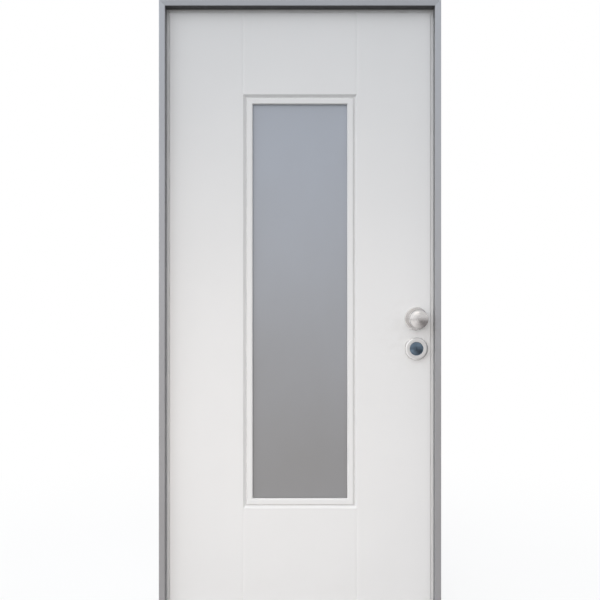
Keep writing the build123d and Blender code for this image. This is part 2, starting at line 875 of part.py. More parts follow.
save(inner_gasket, "inner_gasket")

# Outer glazing bead: four mitred strips with a bevelled inner edge
sight = (sight_x, sight_half_height)
outer_ring = window_ring((bead_x, bead_half_height), sight, floor_y - bead_height, floor_y)
with BuildPart() as outer_ring_finished:
    add(outer_ring.part)
    bead_face = outer_ring_finished.faces().filter_by(Axis.Y).sort_by(Axis.Y)[0]
    inner_edges = bead_face.inner_wires()[0].edges()
    chamfer(inner_edges, length=bead_chamfer)
    bead_face = outer_ring_finished.faces().filter_by(Axis.Y).sort_by(Axis.Y)[0]
    fillet(bead_face.outer_wire().edges(), radius=bead_round)

# Inner glazing bead: foot on the gasket, wall and flange on the inner skin
with BuildPart() as inner_ring_finished:
    add(
        window_ring(
            (sight_x + inner_bead_foot, sight_half_height + inner_bead_foot),
            sight,
            inner_foot_y,
            inner_foot_y + inner_bead_wall,
        ).part
    )
    add(
        window_ring(
            (sight_x + inner_bead_wall, sight_half_height + inner_bead_wall),
            sight,
            inner_foot_y,
            flange_y,
        ).part
    )
    add(window_ring((flange_x, flange_half_height), sight, leaf_inner_y, flange_y).part)
    flange_face = inner_ring_finished.faces().filter_by(Axis.Y).sort_by(Axis.Y)[-1]
    fillet(flange_face.outer_wire().edges(), radius=bead_round)
    fillet(flange_face.inner_wires()[0].edges(), radius=bead_round)
    countersinks(front(flange_y), bead_places)


def bead_strip(name, ring, edge, half_width, half_height, reach):
    """One mitred strip of a glazing bead."""
    with BuildPart() as strip:
        add(ring.part)
        with BuildSketch(front(0)):
            with BuildLine():
                Polyline(*mitred(edge, half_width, half_height, reach), close=True)
            make_face()
        extrude(amount=leaf_thickness, both=True, mode=Mode.INTERSECT)
    save(strip, name)


for edge in ("top", "bottom", "left", "right"):
    outer_reach = bead_width + overrun
    inner_reach = flange_x - sight_x + overrun
    bead_strip(f"outer_bead_{edge}", outer_ring_finished, edge, bead_x, bead_half_height, outer_reach)
    bead_strip(f"inner_bead_{edge}", inner_ring_finished, edge, flange_x, flange_half_height, inner_reach)

# Sweep seal below the leaf
sweep_front_y = leaf_border_y + sweep_setback
with BuildPart() as bottom_seal:
    slab(
        -(leaf_x - sweep_end),
        leaf_x - sweep_end,
        sweep_front_y,
        sweep_front_y + sweep_width,
        threshold_height + seal_touch,
        leaf_bottom,
    )
    fillet(
        bottom_seal.faces().sort_by(Axis.Z)[0].edges().filter_by(Axis.X),
        radius=seal_round,
    )
save(bottom_seal, "bottom_seal")

# Lock case, its cover and the forend
case_y = case_thickness / 2


with BuildPart() as lock_case:
    slab(case_back_x, case_front_x, -case_y, case_y - case_sheet, case_bottom, case_top)
    slab(
        case_back_x + case_sheet,
        case_front_x - case_sheet,
        case_sheet - case_y,
        case_y,
        case_bottom + case_sheet,
        case_top - case_sheet,
        Mode.SUBTRACT,
    )
    bolt_exits(side(case_front_x), slide_fit, case_sheet + overrun)
    round_holes(front(-case_y), [cylinder_axis], cylinder_radius + collar_fit, case_sheet + overrun)
    for z in (case_bottom, case_top):
        square_hole(
            Plane.XY.offset(z),
            (rod_x, rod_y),
            rod_width + 2 * slide_fit,
            rod_thickness + 2 * slide_fit,
            case_sheet + overrun,
        )
save(lock_case, "lock_case")

spindle_reach = spindle_width / math.sqrt(2)
with BuildPart() as lock_cover:
    slab(case_back_x, case_front_x, case_y - case_sheet, case_y, case_bottom, case_top)
    round_holes(front(case_y), [lever_axis], spindle_reach + slide_fit, case_sheet + overrun)
    round_holes(front(case_y), [cylinder_axis], turn_shaft_radius + slide_fit, case_sheet + overrun)
save(lock_cover, "lock_cover")

edge_in = Plane(origin=(leaf_x, 0, 0), x_dir=(0, -1, 0), z_dir=(-1, 0, 0))
with BuildPart() as lock_forend:
    slab(web_x, leaf_x, -forend_width / 2, forend_width / 2, forend_bottom, forend_top)
    bolt_exits(side(leaf_x), slide_fit, forend_sheet + overrun)
    countersinks(edge_in, forend_places)
save(lock_forend, "lock_forend")
forend_screws = screws(edge_in, forend_places)
save(forend_screws, "forend_screws")

# Bolt carriage: plate with a rack, two slanted slots and three deadbolts
slant = math.tan(math.radians(pressure_angle))
addendum = addendum_share * rack_module
dedendum = dedendum_share * rack_module
rack_half = math.pi * rack_module / 4 - backlash / 2
rack_pitch = math.pi * rack_module
with BuildPart() as bolt_carriage:
    with BuildSketch(front(carriage_sheet / 2)):
        with Locations((carriage_front_x - carriage_length / 2, carriage_middle)):
            Rectangle(carriage_length, carriage_height)
        for tooth in range(-rack_teeth_behind, rack_teeth_ahead + 1):
            tooth_x = lock_x + tooth * rack_pitch
            root_half = rack_half + dedendum * slant
            tip_half = rack_half - addendum * slant
            with BuildLine():
                Polyline(
                    (tooth_x - root_half, carriage_top),
                    (tooth_x + root_half, carriage_top),
                    (tooth_x + tip_half, pitch_z + addendum),
                    (tooth_x - tip_half, pitch_z + addendum),
                    close=True,
                )
            make_face()
        for pin_z, turn in ((top_pin_z, 1), (bottom_pin_z, -1)):
            with Locations((rod_x - throw / 2, pin_z + turn * throw / 2)):
                SlotCenterToCenter(
                    throw * math.sqrt(2),
                    2 * (rod_pin_radius + slide_fit),
                    rotation=-turn * 45,
                    mode=Mode.SUBTRACT,
                )
    extrude(amount=carriage_sheet)
    with BuildSketch(side(carriage_front_x - bolt_lap)):
        with Locations(*bolt_holes):
            Circle(bolt_radius)
    extrude(amount=leaf_x - bolt_sunk - carriage_front_x + bolt_lap)
    bolt_tips = bolt_carriage.faces().filter_by(Axis.X).group_by(Axis.X)[-1]
    chamfer([edge for face in bolt_tips for edge in face.edges()], length=bolt_tip)
save(bolt_carriage, "bolt_carriage")


def rod(name, pin_z, turn, leaf_end):
    """Flat rod with a drive pin in the carriage and a round bolt at the leaf's edge."""
    flat_end = leaf_end - turn * rod_bolt_length
    low, high = sorted((pin_z - turn * rod_end_margin, flat_end))
    with BuildPart() as bar:
        slab(
            rod_x - rod_width / 2,
            rod_x + rod_width / 2,
            rod_y - rod_thickness / 2,
            rod_y + rod_thickness / 2,
            low,
            high,
        )
        with BuildSketch(front(rod_y - rod_thickness / 2)):
            with Locations((rod_x, pin_z)):
                Circle(rod_pin_radius)
        extrude(amount=carriage_sheet + rod_gap)
        with BuildSketch(Plane.XY.offset(flat_end)):
            with Locations((rod_x, rod_y)):
                Circle(rod_bolt_radius)
        extrude(amount=turn * (rod_bolt_length - bolt_sunk))
        tip = bar.faces().filter_by(Axis.Z).sort_by(Axis.Z)[-1 if turn > 0 else 0]
        chamfer(tip.edges(), length=rod_bolt_tip)
    save(bar, name)


rod("top_rod", top_pin_z, 1, leaf_top)
rod("bottom_rod", bottom_pin_z, -1, leaf_bottom)

# Spring latch with a tail that the lever's follower pulls
tail_back_y = latch_back_y - rod_gap
tail_front_y = tail_back_y - tail_thickness
arm_back_y = tail_front_y - rod_gap
arm_front_y = arm_back_y - follower_arm_thickness
lug_x = lock_x - follower_arm_width / 2 - spindle_fit - slide_fit - latch_travel
with BuildPart() as latch_bolt:
    slab(
        latch_back_x,
        latch_tip_x,
        latch_front_y,
        latch_back_y,
        latch_z - latch_height / 2,
        latch_z + latch_height / 2,
    )
    with BuildSketch(Plane.XY.offset(latch_z)):
        with BuildLine():
            Polyline(
                (latch_tip_x, latch_front_y),
                (latch_tip_x - latch_bevel, latch_front_y),
                (latch_tip_x, latch_front_y + latch_bevel),
                close=True,
            )
        make_face()
    extrude(amount=latch_height, both=True, mode=Mode.SUBTRACT)
    slab(lug_x, latch_back_x, tail_front_y, tail_back_y, tail_bottom, tail_bottom + tail_height)
    slab(lug_x - lug_length, lug_x, arm_front_y, tail_back_y, tail_bottom, tail_bottom + tail_height)
save(latch_bolt, "latch_bolt")

lever_start_y = leaf_inner_y + slide_fit
with BuildPart() as lever_spindle:
    with BuildSketch(front(latch_back_y)):
        with Locations(lever_axis):
            Circle(follower_radius)
    extrude(amount=latch_back_y - arm_front_y)
    slab(
        lock_x - follower_arm_width / 2,
        lock_x + follower_arm_width / 2,
        arm_front_y,
        arm_back_y,
        knob_height,
        knob_height + follower_arm,
    )
    with BuildSketch(front(lever_start_y + spindle_socket - spindle_fit)):
        with Locations(lever_axis):
            Rectangle(spindle_width, spindle_width)
    extrude(amount=lever_start_y + spindle_socket - spindle_fit - latch_back_y)
save(lever_spindle, "lever_spindle")

with BuildPart() as lever_handle:
    with BuildLine() as lever_path:
        FilletPolyline(
            (lock_x, lever_start_y, knob_height),
            (lock_x, leaf_inner_y + lever_standoff, knob_height),
            (lock_x - lever_reach, leaf_inner_y + lever_standoff, knob_height),
            radius=lever_bend,
        )
    with BuildSketch(Plane(origin=(lock_x, lever_start_y, knob_height), z_dir=(0, 1, 0))):
        Circle(lever_radius)
    sweep(path=lever_path.wires()[0])
    lever_end = lever_handle.faces().filter_by(GeomType.PLANE).sort_by(Axis.X)[0]
    fillet(lever_end.edges(), radius=lever_radius * 3 / 4)
    with BuildSketch(front(lever_start_y)):
        with Locations(lever_axis):
            Rectangle(spindle_width + 2 * spindle_fit, spindle_width + 2 * spindle_fit)
    extrude(amount=-spindle_socket, mode=Mode.SUBTRACT)
save(lever_handle, "lever_handle")


def inner_rose(name, place, height, bore):
    """Round rose on the inner skin."""
    with BuildPart() as rose:
        with BuildSketch(front(leaf_inner_y)):
            with Locations(place):
                Circle(rose_radius)
        extrude(amount=-height)
        fillet(rose.faces().sort_by(Axis.Y)[-1].edges(), radius=rose_round)
        round_holes(front(leaf_inner_y), [place], bore, height + overrun)
    save(rose, name)


inner_rose("lever_rose", lever_axis, lever_rose_height, lever_radius + slide_fit)
inner_rose("thumbturn_rose", cylinder_axis, thumbturn_rose_height, turn_shaft_radius + slide_fit)

# Thumbturn with its shaft and pinion
base_radius = pitch_radius * math.cos(math.radians(pressure_angle))
tip_radius = pitch_radius + addendum
root_radius = pitch_radius - dedendum


def involute(angle):
    """Involute function of an angle in radians."""
    return math.tan(angle) - angle


def half_tooth(radius):
    """Half the angle that a pinion tooth spans at one radius."""
    here = math.acos(min(base_radius / radius, 1))
    return math.pi / (2 * pinion_teeth) + involute(math.radians(pressure_angle)) - involute(here)


def pinion_point(radius, angle):
    """Point about the cylinder's axis."""
    return (lock_x + radius * math.cos(angle), cylinder_height + radius * math.sin(angle))


flank_step = (tip_radius - base_radius) / flank_steps
flank_radii = [base_radius + step * flank_step for step in range(flank_steps + 1)]
pinion_outline = []
for tooth in range(pinion_teeth):
    middle = -math.pi / 2 + (tooth + 0.5) * 2 * math.pi / pinion_teeth
    pinion_outline.append(pinion_point(root_radius, middle - half_tooth(base_radius)))
    pinion_outline += [pinion_point(radius, middle - half_tooth(radius)) for radius in flank_radii]
    falling = reversed(flank_radii)
    pinion_outline += [pinion_point(radius, middle + half_tooth(radius)) for radius in falling]
    pinion_outline.append(pinion_point(root_radius, middle + half_tooth(base_radius)))

turn_base_y = leaf_inner_y + thumbturn_rose_height + slide_fit
with BuildPart() as thumbturn:
    with BuildSketch(front(turn_base_y + turn_depth)):
        with Locations(cylinder_axis):
            SlotOverall(turn_length, turn_width, rotation=90)
    extrude(amount=turn_depth)
    fillet(thumbturn.faces().sort_by(Axis.Y)[-1].edges(), radius=turn_round)
    with BuildSketch(front(turn_base_y)):
        with Locations(cylinder_axis):
            Circle(turn_shaft_radius)
    extrude(amount=turn_base_y)
    with BuildSketch(front(pinion_thickness / 2)):
        with BuildLine():
            Polyline(*pinion_outline, close=True)
        make_face()
    extrude(amount=pinion_thickness)
save(thumbturn, "thumbturn")


def turning_plane(height):
    """Plane for a turned profile on the outside, drawn in radius and height above the field."""
    return Plane(origin=(lock_x, field_y, height), x_dir=(0, 0, 1), z_dir=(1, 0, 0))


# Fixed knob with its stud, rose and nut
knob_axis = Axis((lock_x, field_y, knob_height), (0, -1, 0))
stud_end = -(skin_sheet + nut_height)
with BuildPart() as outer_knob:
    with BuildSketch(turning_plane(knob_height)):
        with BuildLine():
            Polyline(
                (0, stud_end),
                (stud_radius, stud_end),
                (stud_radius, knob_rose_height),
                (knob_neck_radius, knob_rose_height),
            )
            neck = (knob_neck_radius, knob_rose_height)
            Spline(neck, (knob_radius, knob_reach), tangents=((0, 1), (0, 1)))
            Bezier(
                (knob_radius, knob_reach),
                (knob_radius, knob_reach + knob_dome_share * knob_dome),
                (knob_dome_share * knob_radius, knob_reach + knob_dome),
                (0, knob_reach + knob_dome),
            )
            Line((0, knob_reach + knob_dome), (0, stud_end))
        make_face()
    revolve(axis=knob_axis)
save(outer_knob, "outer_knob")

with BuildPart() as knob_rose:
    with BuildSketch(front(field_y)):
        with Locations(lever_axis):
            Circle(knob_rose_radius)
    extrude(amount=knob_rose_step)
    fillet(knob_rose.faces().sort_by(Axis.Y)[0].edges(), radius=knob_rose_round)
    with BuildSketch(front(field_y)):
        with Locations(lever_axis):
            Circle((knob_rose_radius + knob_neck_radius) / 2)
    extrude(amount=knob_rose_height)
    fillet(knob_rose.faces().sort_by(Axis.Y)[0].edges(), radius=knob_rose_round / 2)
    round_holes(front(field_y), [lever_axis], stud_radius + stud_fit, knob_rose_height + overrun)
save(knob_rose, "knob_rose")

with BuildPart() as knob_nut:
    with BuildSketch(front(field_back_y)):
        with Locations(lever_axis):
            RegularPolygon(nut_across / 2, 6, major_radius=False)
            Circle(stud_radius + stud_fit, mode=Mode.SUBTRACT)
    extrude(amount=-nut_height)
save(knob_nut, "knob_nut")

# Cylinder guard, cylinder and its turning disc
disc_top = guard_height - disc_sunk
disc_bottom = disc_top - disc_height
bore_radius = disc_radius + disc_fit
tail_depth = field_y + pinion_thickness / 2 + cylinder_tail_gap
with BuildPart() as cylinder_guard:
    with BuildSketch(front(field_y)):
        with Locations(cylinder_axis):
            Circle(guard_radius)
            Circle(bore_radius, mode=Mode.SUBTRACT)
    extrude(amount=guard_height)
    guard_face = cylinder_guard.faces().sort_by(Axis.Y)[0]
    fillet(guard_face.outer_wire().edges(), radius=guard_round)
    guard_face = cylinder_guard.faces().sort_by(Axis.Y)[0]
    fillet(guard_face.inner_wires()[0].edges(), radius=disc_round)
save(cylinder_guard, "cylinder_guard")

with BuildPart() as cylinder_body:
    with BuildSketch(front(field_y)):
        with Locations(cylinder_axis):
            Circle(disc_radius)
    extrude(amount=disc_bottom - collar_fit)
    with BuildSketch(front(field_y)):
        with Locations(cylinder_axis):
            Circle(cylinder_radius)
    extrude(amount=tail_depth)
    round_holes(front(field_y), [cylinder_axis], plug_radius + collar_fit, leaf_thickness)
save(cylinder_body, "cylinder_body")

disc_rim = disc_top - disc_dome
disc_axis = Axis((lock_x, field_y, cylinder_height), (0, -1, 0))
with BuildPart() as cylinder_plug:
    with BuildSketch(turning_plane(cylinder_height)):
        with BuildLine():
            TangentArc((0, disc_top), (disc_radius, disc_rim), tangent=(1, 0))
            Polyline((disc_radius, disc_rim), (disc_radius, disc_bottom), (0, disc_bottom), (0, disc_top))
        make_face()
    revolve(axis=disc_axis)
    with BuildSketch(front(field_y - disc_bottom)):
        with Locations(cylinder_axis):
            Circle(plug_radius)
    extrude(amount=tail_depth - disc_bottom)
    with BuildSketch(front(field_y - disc_top)):
        with Locations(cylinder_axis):
            Rectangle(key_slot_width, key_slot_length)
    extrude(amount=-key_slot_depth, mode=Mode.SUBTRACT)
    with BuildSketch(front(field_y - disc_top)):
        with Locations(cylinder_axis):
            Circle(key_rim_radius + key_rim_width)
            Circle(key_rim_radius, mode=Mode.SUBTRACT)
    extrude(amount=-key_rim_depth, mode=Mode.SUBTRACT)
save(cylinder_plug, "cylinder_plug")
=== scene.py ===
import math

import bmesh
import bpy
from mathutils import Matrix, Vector


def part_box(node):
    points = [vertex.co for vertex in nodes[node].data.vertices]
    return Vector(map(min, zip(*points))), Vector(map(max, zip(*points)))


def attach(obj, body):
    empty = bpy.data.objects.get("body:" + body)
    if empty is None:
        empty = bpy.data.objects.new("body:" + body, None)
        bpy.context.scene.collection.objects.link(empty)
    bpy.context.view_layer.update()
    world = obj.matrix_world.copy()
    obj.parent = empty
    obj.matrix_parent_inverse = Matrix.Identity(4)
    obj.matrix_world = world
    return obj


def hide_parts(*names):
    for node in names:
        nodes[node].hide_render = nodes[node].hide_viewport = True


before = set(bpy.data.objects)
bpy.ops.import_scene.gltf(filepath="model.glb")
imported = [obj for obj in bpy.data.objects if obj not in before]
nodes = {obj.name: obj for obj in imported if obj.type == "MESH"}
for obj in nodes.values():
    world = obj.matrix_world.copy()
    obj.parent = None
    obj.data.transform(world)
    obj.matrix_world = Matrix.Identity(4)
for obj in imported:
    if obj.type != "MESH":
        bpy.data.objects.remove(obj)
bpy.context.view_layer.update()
scene = bpy.context.scene
scene.view_settings.view_transform = "Standard"

# Places on the door, in metres
LOCK_X = 0.392
KNOB_Z = 1.001
CYLINDER_Z = 0.900
OPENING_X = 0.450
OPENING_TOP = 2.045
FRAME_FRONT = -0.061
FIELD_FRONT = -0.028
KNOB_AXIS = (LOCK_X, 0, KNOB_Z)
CYLINDER_AXIS = (LOCK_X, 0, CYLINDER_Z)

# Wear on the paint: places and reaches in metres, shares of the soiled colour
HANDLED_CENTRE = (LOCK_X, 0, 0.95)
HANDLED_CORE = 0.05
HANDLED_REACH = 0.17
HANDLED_SHARE = 0.1
SPLASH_HEIGHT = 0.2
SPLASH_SHARE = 0.12
SOIL_ROUGHNESS = 0.5

# Paint of the frame: heights between which painted light makes it paler toward the top, and the edges of the
# painted shade in its reveal, in metres
PAINTED_LIGHT_FROM = 0.6
PAINTED_LIGHT_TO = 2.05
REVEAL_SHADE_FULL = 0.0006
REVEAL_SHADE_NONE = 0.0016
REVEAL_SHADE_STARTS = 0.0005
REVEAL_SHADE_DARK = 0.0025

# Heights between which painted light turns the glass from darker to paler and bluer, in metres
GLASS_LIGHT_FROM = 0.4
GLASS_LIGHT_TO = 1.7

# Band where metal turns darker next to the leaf's field, in metres, and its colour
NEAR_LEAF_DARK_STARTS = -0.006
NEAR_LEAF_DARK_FULL = -0.001
NEAR_LEAF_DARK_COLOUR = (0.12, 0.11, 0.105, 1.0)

# Values between which most of a noise pattern lies
NOISE_LOW = 0.3
NOISE_HIGH = 0.7

# Sockets by number, where other sockets of the node have the same name
MIX_SHARE, MIX_FIRST, MIX_SECOND, MIX_COLOUR = 0, 6, 7, 2
RANDOM_MOST, RANDOM_NUMBER = 3, 1

# Screws, in metres
SCREW_SIZES = {
    "Head Radius": 0.004,
    "Shank Radius": 0.002,
    "Length": 0.012,
    "Recess Width": 0.0011,
    "Recess Depth": 0.0012,
}
SCREW_SEED = 7
HEAD_SIDES = 24
SHANK_SIDES = 16
RECESS_PER_RADIUS = 1.15
WELD = 0.000001

# Section of the grey strip in the gap round the outer bead: distance from the outer bead and height over the
# recess's floor, in metres
GAP_STRIP_WIDTH = 0.0055
GAP_STRIP_SECTION = [
    (0.0, 0.0002),
    (0.0, 0.0028),
    (0.0008, 0.0018),
    (0.0018, 0.0012),
    (0.0031, 0.0009),
    (0.0044, 0.0010),
    (GAP_STRIP_WIDTH, 0.0014),
    (GAP_STRIP_WIDTH, 0.0002),
]

# Studio, in metres
FLOOR_REACH = 60.0
CAMERA_SPOT = (0.0, -2.425, 1.064)
HALF_WIDTH_PER_DISTANCE = 1015 / 2400


# Node helpers

def new_finish(name):
    """Empty finish with its shader, ready for its pattern."""
    material = bpy.data.materials.new(name)
    material.use_nodes = True
    tree = material.node_tree
    tree.nodes.clear()
    output = tree.nodes.new("ShaderNodeOutputMaterial")
    shader = tree.nodes.new("ShaderNodeBsdfPrincipled")
    tree.links.new(shader.outputs[0], output.inputs["Surface"])
    return material, tree, shader


def join(tree, value, socket):
    """Link a socket, or set a plain value on it."""
    if isinstance(value, bpy.types.NodeSocket):
        tree.links.new(value, socket)
    else:
        socket.default_value = value


def put(tree, kind, inputs=None, **settings):
    """New node with its settings and its inputs, by name or number."""
    node = tree.nodes.new(kind)
    for key, value in settings.items():
        setattr(node, key, value)
    for key, value in (inputs or {}).items():
        join(tree, value, node.inputs[key])
    return node


def place(tree, scale=(1, 1, 1), centre=(0, 0, 0), turn=(0, 0, 0)):
    """Object coordinates, moved to a centre, turned and stretched."""
    coords = put(tree, "ShaderNodeTexCoord").outputs["Object"]
    moved = put(tree, "ShaderNodeVectorMath", {0: coords, 1: centre}, operation="SUBTRACT").outputs[0]
    mapping = {"Vector": moved, "Rotation": turn, "Scale": scale}
    return put(tree, "ShaderNodeMapping", mapping).outputs["Vector"]


def axes(tree, vector):
    """The three parts of a vector."""
    return put(tree, "ShaderNodeSeparateXYZ", {0: vector}).outputs


def combine(tree, **parts):
    """Vector from its parts."""
    return put(tree, "ShaderNodeCombineXYZ", parts).outputs[0]


def length(tree, vector):
    """Length of a vector."""
    return put(tree, "ShaderNodeVectorMath", {0: vector}, operation="LENGTH").outputs["Value"]


def noise(tree, vector, scale, detail=3.0, rough=0.5, warp=0.0):
    """Soft random pattern between zero and one."""
    inputs = {"Vector": vector, "Scale": scale, "Detail": detail, "Roughness": rough, "Distortion": warp}
    return put(tree, "ShaderNodeTexNoise", inputs).outputs[0]


def reckon(tree, how, first, second=0.0):
    """One step of arithmetic."""
    return put(tree, "ShaderNodeMath", {0: first, 1: second}, operation=how).outputs[0]


def span(tree, value, low, high, to_low=0.0, to_high=1.0, soft=False):
    """Value moved from one range to another."""
    inputs = {"Value": value, "From Min": low, "From Max": high, "To Min": to_low, "To Max": to_high}
    shape = "SMOOTHSTEP" if soft else "LINEAR"
    return put(tree, "ShaderNodeMapRange", inputs, interpolation_type=shape).outputs["Result"]


def noise_span(tree, value, to_low=0.0, to_high=1.0):
    """Noise pattern stretched over a range."""
    return span(tree, value, NOISE_LOW, NOISE_HIGH, to_low, to_high)


def blend(tree, share, first, second):
    """Colour between two colours."""
    node = put(tree, "ShaderNodeMix", data_type="RGBA")
    join(tree, share, node.inputs[MIX_SHARE])
    join(tree, first, node.inputs[MIX_FIRST])
    join(tree, second, node.inputs[MIX_SECOND])
    return node.outputs[MIX_COLOUR]


def dress(tree, shader, tone, rough):
    """Set the shader's colour and roughness."""
    join(tree, tone, shader.inputs["Base Color"])
    join(tree, rough, shader.inputs["Roughness"])


def relief(tree, shader, height, depth, strength):
    """Fine relief on the shader's normal, its depth in metres."""
    inputs = {"Height": height, "Distance": depth, "Strength": strength}
    join(tree, put(tree, "ShaderNodeBump", inputs).outputs[0], shader.inputs["Normal"])


def shine(tree, kind, tone, strength=1.0):
    """Emission or Background shader of one colour."""
    return put(tree, kind, {"Color": tone, "Strength": strength}).outputs[0]


def mix_shaders(tree, share, first, second):
    """Shader between two shaders."""
    return put(tree, "ShaderNodeMixShader", {0: share, 1: first, 2: second}).outputs[0]


def colour(red, green, blue):
    """Opaque colour."""
    return (red, green, blue, 1.0)


# Finishes

def powder_paint(name, light, dark, soiled, painted_light=0.0, reveal_shade=None, head_shade_share=0.0):
    """Satin powder paint: cloudy tone, orange peel, dust near the floor and handling marks at the knob.

    painted_light says how much of the tone is painted light that turns it paler toward the top, instead of
    clouds.
    Reveal_shade is the painted shade inside the opening, and head_shade_share says how much of it goes on
    over the jambs.
    """
    material, tree, shader = new_finish(name)
    spot = place(tree)
    x, y, z = axes(tree, spot)
    cloud = noise(tree, spot, scale=2.2, detail=4.0, rough=0.55)
    clouded = noise_span(tree, cloud, to_high=1.0 - painted_light)
    # Painted light: the frame's tone turns paler toward its top
    painted_light_rise = span(tree, z, PAINTED_LIGHT_FROM, PAINTED_LIGHT_TO, to_high=painted_light)
    tone = blend(tree, reckon(tree, "ADD", clouded, painted_light_rise), dark, light)

    dust = noise(tree, place(tree, (3.0, 3.0, 7.0)), scale=1.0, detail=4.0, rough=0.6)
    low = span(tree, z, SPLASH_HEIGHT, 0.0, to_high=SPLASH_SHARE, soft=True)
    splash = reckon(tree, "MULTIPLY", low, span(tree, dust, 0.35, 0.75))
    reach = length(tree, place(tree, (1, 0, 1), HANDLED_CENTRE))
    near = span(tree, reach, HANDLED_REACH, HANDLED_CORE, to_high=HANDLED_SHARE, soft=True)
    smear = noise(tree, spot, scale=46.0, detail=4.0, rough=0.6)
    touch = reckon(tree, "MULTIPLY", near, span(tree, smear, 0.4, 0.7))
    soil = reckon(tree, "ADD", splash, touch)
    tone = blend(tree, soil, tone, soiled)

    # Painted shade: a darker colour inside the opening, fuller toward the back of the reveal
    if reveal_shade:
        aside = reckon(tree, "ABSOLUTE", x)
        inside_x = span(tree, aside, OPENING_X + REVEAL_SHADE_NONE, OPENING_X + REVEAL_SHADE_FULL)
        inside_z = span(tree, z, OPENING_TOP + REVEAL_SHADE_NONE, OPENING_TOP + REVEAL_SHADE_FULL)
        behind = span(tree, y, FRAME_FRONT + REVEAL_SHADE_STARTS, FRAME_FRONT + REVEAL_SHADE_DARK)
        sides = reckon(tree, "MULTIPLY", reckon(tree, "MULTIPLY", inside_x, inside_z), behind)
        head = reckon(tree, "MULTIPLY", inside_z, behind)
        painted_shade = reckon(tree, "MAXIMUM", sides, reckon(tree, "MULTIPLY", head, head_shade_share))
        tone = blend(tree, painted_shade, tone, reveal_shade)

    peel = noise(tree, spot, scale=420.0, detail=2.0, rough=0.4)
    ripple = noise(tree, spot, scale=90.0, detail=2.0, rough=0.4)
    soil_dull = reckon(tree, "MULTIPLY", soil, SOIL_ROUGHNESS)
    rough = reckon(tree, "ADD", noise_span(tree, ripple, 0.36, 0.46), soil_dull)
    dress(tree, shader, tone, rough)
    relief(tree, shader, reckon(tree, "ADD", peel, ripple), depth=0.00012, strength=0.5)
    shader.inputs["Specular IOR Level"].default_value = 0.4
    return material


def frosted_glass(name, shaded_foot_tone, lit_top_tone):
    """Satin-etched glass: a little cloudy, with painted light that leaves it darker at its foot and paler at
    its top.
    """
    material, tree, shader = new_finish(name)
    spot = place(tree)
    z = axes(tree, spot)[2]
    cloud = noise(tree, place(tree, (1, 1, 0.6)), scale=5.0, detail=4.0, rough=0.5)
    # Painted light: the glass turns paler and bluer toward its top
    rise = span(tree, z, GLASS_LIGHT_FROM, GLASS_LIGHT_TO, soft=True)
    share = reckon(tree, "ADD", rise, span(tree, cloud, 0.2, 0.8, -0.08, 0.08))
    grain = noise(tree, spot, scale=900.0, detail=2.0, rough=0.6)
    dress(tree, shader, blend(tree, share, shaded_foot_tone, lit_top_tone), noise_span(tree, grain, 0.42, 0.55))
    relief(tree, shader, grain, depth=0.00006, strength=0.35)
    shader.inputs["Transmission Weight"].default_value = 0.25
    shader.inputs["IOR"].default_value = 1.5
    return material


def spun_metal(name, light, dark, centre, rough, turns, streak, near_leaf_dark=0.0):
    """Metal turned on a lathe: fine rings round its axis, a soft streak of light, darker next to the leaf."""
    material, tree, shader = new_finish(name)
    spot = place(tree, centre=centre)
    y = axes(tree, spot)[1]
    radius = length(tree, place(tree, (1, 0, 1), centre))
    rings = noise(
        tree, combine(tree, X=radius, Y=reckon(tree, "MULTIPLY", y, 0.6)), scale=turns, detail=3.0, rough=0.65
    )
    smear = noise(tree, spot, scale=60.0, detail=3.0, rough=0.5)
    tone = blend(tree, noise_span(tree, rings), dark, light)
    # Metal turns darker toward the leaf's field
    near_leaf_darkened = span(tree, y, FIELD_FRONT + NEAR_LEAF_DARK_STARTS, FIELD_FRONT + NEAR_LEAF_DARK_FULL, to_high=near_leaf_dark)
    tone = blend(tree, near_leaf_darkened, tone, NEAR_LEAF_DARK_COLOUR)
    ringed = noise_span(tree, rings, rough - 0.06, rough + 0.06)
    dress(tree, shader, tone, reckon(tree, "ADD", ringed, span(tree, smear, 0.3, 0.8, -0.04, 0.06)))
    relief(tree, shader, rings, depth=0.00004, strength=0.4)
    shader.inputs["Metallic"].default_value = 1.0
    shader.inputs["Anisotropic"].default_value = streak
    tangent = put(tree, "ShaderNodeTangent", direction_type="RADIAL", axis="Y")
    join(tree, tangent.outputs[0], shader.inputs["Tangent"])
    return material


def brushed_metal(name, light, dark, rough, stretch):
    """Metal brushed or drawn along one direction."""
    material, tree, shader = new_finish(name)
    lines = noise(tree, place(tree, stretch), scale=1.0, detail=4.0, rough=0.6)
    stain = noise(tree, place(tree), scale=14.0, detail=4.0, rough=0.55)
    tone = blend(tree, noise_span(tree, lines), dark, light)
    tone = blend(tree, span(tree, stain, 0.5, 0.8, to_high=0.35), tone, dark)
    painted_shade = noise_span(tree, lines, rough - 0.07, rough + 0.07)
    dress(tree, shader, tone, reckon(tree, "ADD", painted_shade, span(tree, stain, 0.4, 0.8, to_high=0.1)))
    relief(tree, shader, lines, depth=0.00005, strength=0.5)
    shader.inputs["Metallic"].default_value = 1.0
    return material


def zinc_plate(name, light, dark):
    """Zinc plating with its cloudy spangle."""
    material, tree, shader = new_finish(name)
    spot = place(tree)
    cells = put(tree, "ShaderNodeTexVoronoi", {"Vector": spot, "Scale": 110.0}, feature="F1").outputs["Color"]
    flake = axes(tree, cells)[0]
    cloud = noise(tree, spot, scale=30.0, detail=4.0, rough=0.6)
    flaked = span(tree, flake, 0.0, 1.0, to_high=0.6)
    share = reckon(tree, "ADD", flaked, noise_span(tree, cloud, to_high=0.4))
    dress(tree, shader, blend(tree, share, dark, light), span(tree, share, 0.0, 1.0, 0.5, 0.32))
    relief(tree, shader, cloud, depth=0.00008, strength=0.4)
    shader.inputs["Metallic"].default_value = 1.0
    return material


